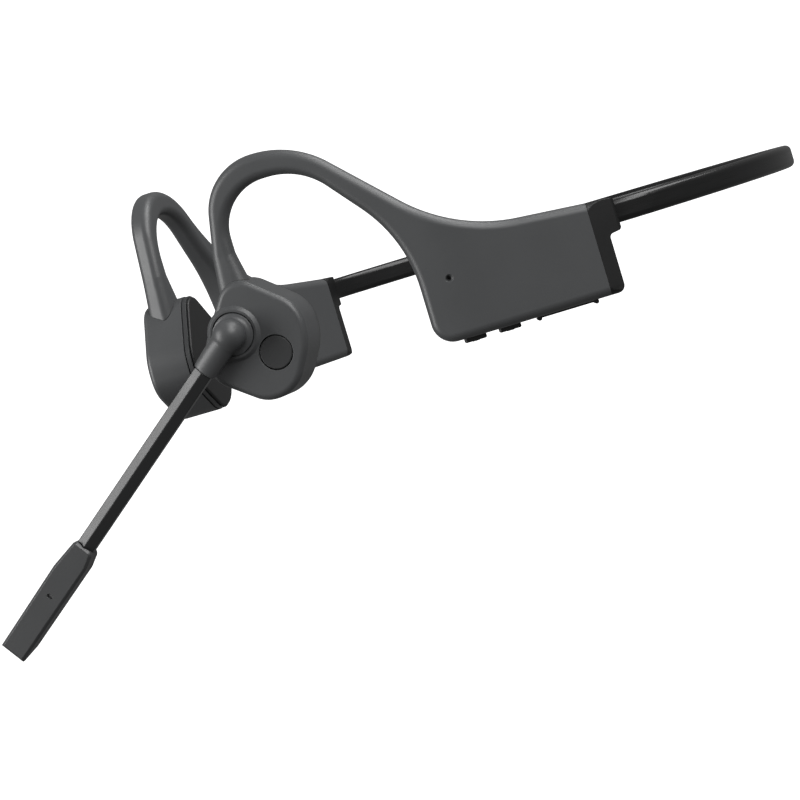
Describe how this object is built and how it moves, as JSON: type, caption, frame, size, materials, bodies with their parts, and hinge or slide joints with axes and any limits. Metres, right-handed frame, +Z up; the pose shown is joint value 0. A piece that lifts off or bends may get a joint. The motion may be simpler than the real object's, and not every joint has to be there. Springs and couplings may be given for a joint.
{
  "type": "bone conduction headset",
  "caption": "Neckband headset with ear hooks, a cheekbone pad and bone conduction driver on each side, and a turning boom microphone.",
  "frame": {"origin": "on the neckband's plane, midway between the two contact pads", "axes": "+X forward, out of the wearer's face; +Y to the wearer's left; +Z up, square to the neckband's plane"},
  "size_m": [0.1918, 0.1346, 0.085],
  "materials": {
    "soft_grey": "soft-touch, satin",
    "rim_grey": "satin",
    "black_rubber": "satin rubber",
    "black_plastic": "satin",
    "pad_silicone": "matt silicone",
    "button_dark": "fine matt",
    "spring_wire": "drawn wire",
    "cable_core": "enamelled",
    "circuit_board": "solder mask",
    "steel_part": "bright",
    "magnet": "plated",
    "copper_coil": "enamelled copper",
    "switch_black": "moulded",
    "battery_foil": "foil"
  },
  "bodies": {
    "headset": {"battery_board": "circuit_board", "battery_cell": "battery_foil", "battery_tabs": "copper_coil", "board_screws": "steel_part", "case_microphone": "switch_black", "charging_socket": "steel_part", "control_board": "circuit_board", "left_arm_shell": "soft_grey", "left_contact_pad": "pad_silicone", "left_driver_magnet": "magnet", "left_hook_lead": "cable_core", "left_hook_wire": "spring_wire", "left_magnet_cup": "steel_part", "left_rear_cap": "black_plastic", "left_sound_pod_housing": "soft_grey", "left_sound_pod_rim": "rim_grey", "left_spring_plate": "steel_part", "left_vibration_plate": "steel_part", "left_voice_coil": "copper_coil", "multifunction_board": "circuit_board", "multifunction_switch": "switch_black", "neckband_cable_cores": "cable_core", "neckband_sleeve": "black_rubber", "neckband_wire": "spring_wire", "radio_module": "steel_part", "right_arm_shell": "soft_grey", "right_contact_pad": "pad_silicone", "right_driver_magnet": "magnet", "right_hook_lead": "cable_core", "right_hook_wire": "spring_wire", "right_magnet_cup": "steel_part", "right_rear_cap": "black_plastic", "right_sound_pod_housing": "soft_grey", "right_sound_pod_rim": "rim_grey", "right_spring_plate": "steel_part", "right_vibration_plate": "steel_part", "right_voice_coil": "copper_coil", "volume_switches": "switch_black"},
    "boom": {"boom_elbow": "soft_grey", "boom_stem": "black_rubber", "boom_stem_core": "spring_wire", "boom_retainer": "steel_part", "mic_head_front": "soft_grey", "mic_head_back": "soft_grey", "mic_mesh": "steel_part", "mic_capsule": "switch_black"},
    "multifunction_key": {"multifunction_button": "button_dark"},
    "volume_up_key": {"volume_up_button": "black_plastic"},
    "volume_down_key": {"volume_down_button": "black_plastic"},
    "port_flap": {"charging_flap": "black_rubber"}
  },
  "joints": [
    {"name": "boom_swing", "type": "hinge", "parent": "headset", "child": "boom", "pos_m": [0.00983, 0.01966, -0.0015], "axis": [0.7071, 0.7071, 0], "range_deg": [-120, 50]},
    {"name": "multifunction_press", "type": "slide", "parent": "headset", "child": "multifunction_key", "axis": [-0.7071, -0.7071, 0], "range_m": [0, 0.00035], "stiffness_N_per_m": 4000},
    {"name": "volume_up_press", "type": "slide", "parent": "headset", "child": "volume_up_key", "axis": [0, 0, 1], "range_m": [0, 0.00035], "stiffness_N_per_m": 4000},
    {"name": "volume_down_press", "type": "slide", "parent": "headset", "child": "volume_down_key", "axis": [0, 0, 1], "range_m": [0, 0.00035], "stiffness_N_per_m": 4000},
    {"name": "port_flap_open", "type": "hinge", "parent": "headset", "child": "port_flap", "pos_m": [-0.0489, 0.05932, -0.01586], "axis": [0.4741, 0.8805, 0], "range_deg": [0, 110]}
  ]
}
